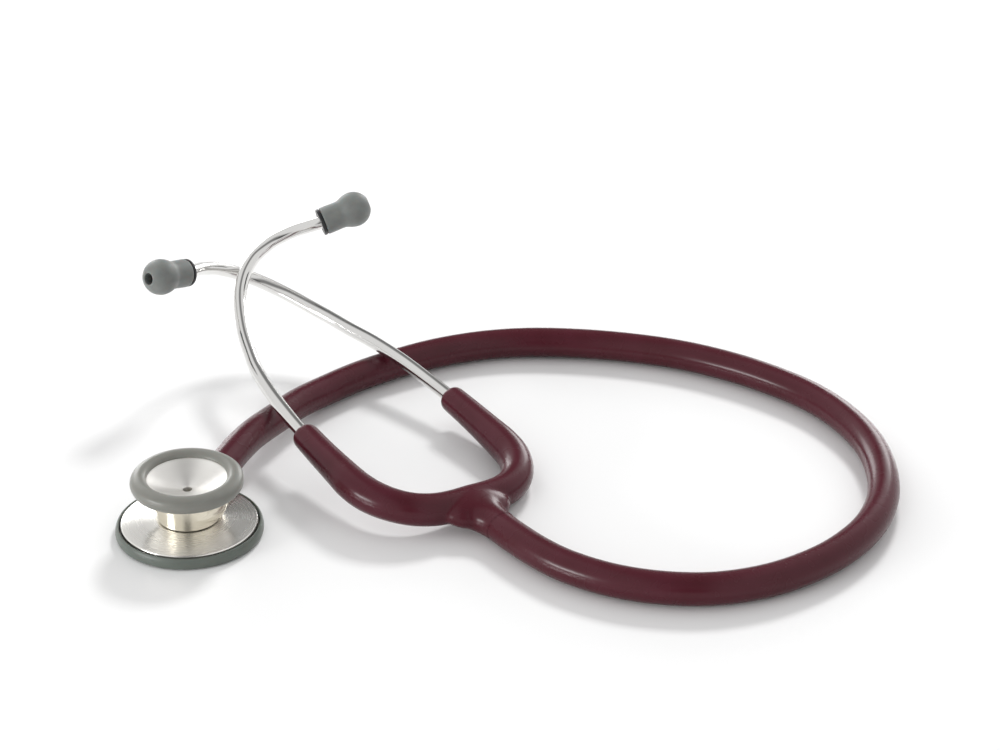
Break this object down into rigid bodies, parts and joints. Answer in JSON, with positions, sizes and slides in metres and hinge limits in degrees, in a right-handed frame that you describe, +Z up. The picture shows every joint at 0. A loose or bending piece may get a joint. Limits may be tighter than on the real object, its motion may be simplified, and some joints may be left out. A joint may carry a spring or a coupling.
{
  "type": "stethoscope",
  "caption": "Stethoscope with a two-sided chestpiece, thick looped tubing into a moulded Y yoke, and crossed steel binaurals with soft eartips.",
  "frame": {"origin": "centre of the footprint of everything but the long tubing, on the surface it lies on", "axes": "+Z up from the surface; +Y along the longest extent of chestpiece and headset, from chestpiece toward the eartips; +X toward the loop of tubing"},
  "size_m": [0.2568, 0.196, 0.0551],
  "materials": {
    "tubing": "satin burgundy vinyl",
    "spring_steel": "plain spring steel",
    "binaural_steel": "polished stainless tube",
    "adaptor": "black nylon",
    "eartip": "soft grey silicone",
    "chestpiece_steel": "turned stainless steel",
    "diaphragm": "thin smooth resin disc",
    "rim": "soft grey rubber"
  },
  "bodies": {
    "tubing": {"main_tube": "tubing", "yoke_base": "tubing", "valve_stem": "chestpiece_steel"},
    "chestpiece": {"diaphragm_rim": "rim", "diaphragm": "diaphragm", "diaphragm_housing": "chestpiece_steel", "valve_drum": "chestpiece_steel", "bell_cup": "chestpiece_steel", "bell_ring": "rim", "stem_snap_ring": "spring_steel", "detent_ball": "spring_steel", "detent_spring": "spring_steel", "detent_set_screw": "spring_steel"},
    "arm_left": {"yoke_arm_left": "tubing", "leaf_spring_left": "spring_steel"},
    "arm_right": {"yoke_arm_right": "tubing", "leaf_spring_right": "spring_steel"},
    "binaural_left": {"binaural_left": "binaural_steel", "eartip_adaptor_left": "adaptor"},
    "binaural_right": {"binaural_right": "binaural_steel", "eartip_adaptor_right": "adaptor"},
    "eartip_left": {"eartip_left": "eartip"},
    "eartip_right": {"eartip_right": "eartip"}
  },
  "joints": [
    {"name": "chestpiece_swivel", "type": "hinge", "parent": "tubing", "child": "chestpiece", "pos_m": [-0.0435, -0.062, 0.00945], "axis": [0.3256, 0.9455, 0], "continuous": true},
    {"name": "arm_left_flex", "type": "hinge", "parent": "tubing", "child": "arm_left", "pos_m": [0.0091, -0.0517, 0.01147], "axis": [0.1239, -0.0341, 0.9917], "range_deg": [0, 4.5], "stiffness_Nm_per_rad": 1.2},
    {"name": "arm_right_flex", "type": "hinge", "parent": "tubing", "child": "arm_right", "pos_m": [0.05796, -0.01689, 0.00656], "axis": [0.1239, -0.0341, 0.9917], "range_deg": [-4.5, 0], "stiffness_Nm_per_rad": 1.2},
    {"name": "binaural_left_twist", "type": "hinge", "parent": "arm_left", "child": "binaural_left", "pos_m": [-0.00885, -0.02357, 0.01468], "axis": [-0.5053, 0.8579, 0.0926], "range_deg": [-9, 0]},
    {"name": "binaural_right_twist", "type": "hinge", "parent": "arm_right", "child": "binaural_right", "pos_m": [0.03929, 0.01076, 0.00984], "axis": [-0.5862, 0.8039, 0.1009], "range_deg": [-9, 0]},
    {"name": "eartip_left_pull", "type": "slide", "parent": "binaural_left", "child": "eartip_left", "axis": [0.9161, 0.2918, 0.2749], "range_m": [0, 0.01]},
    {"name": "eartip_right_pull", "type": "slide", "parent": "binaural_right", "child": "eartip_right", "axis": [-0.6432, -0.7306, 0.2293], "range_m": [0, 0.01]}
  ],
  "couplings": [
    {"joint": "arm_right_flex", "follows": "arm_left_flex", "ratio": -1},
    {"joint": "binaural_left_twist", "follows": "arm_left_flex", "ratio": -2},
    {"joint": "binaural_right_twist", "follows": "arm_left_flex", "ratio": -2}
  ]
}
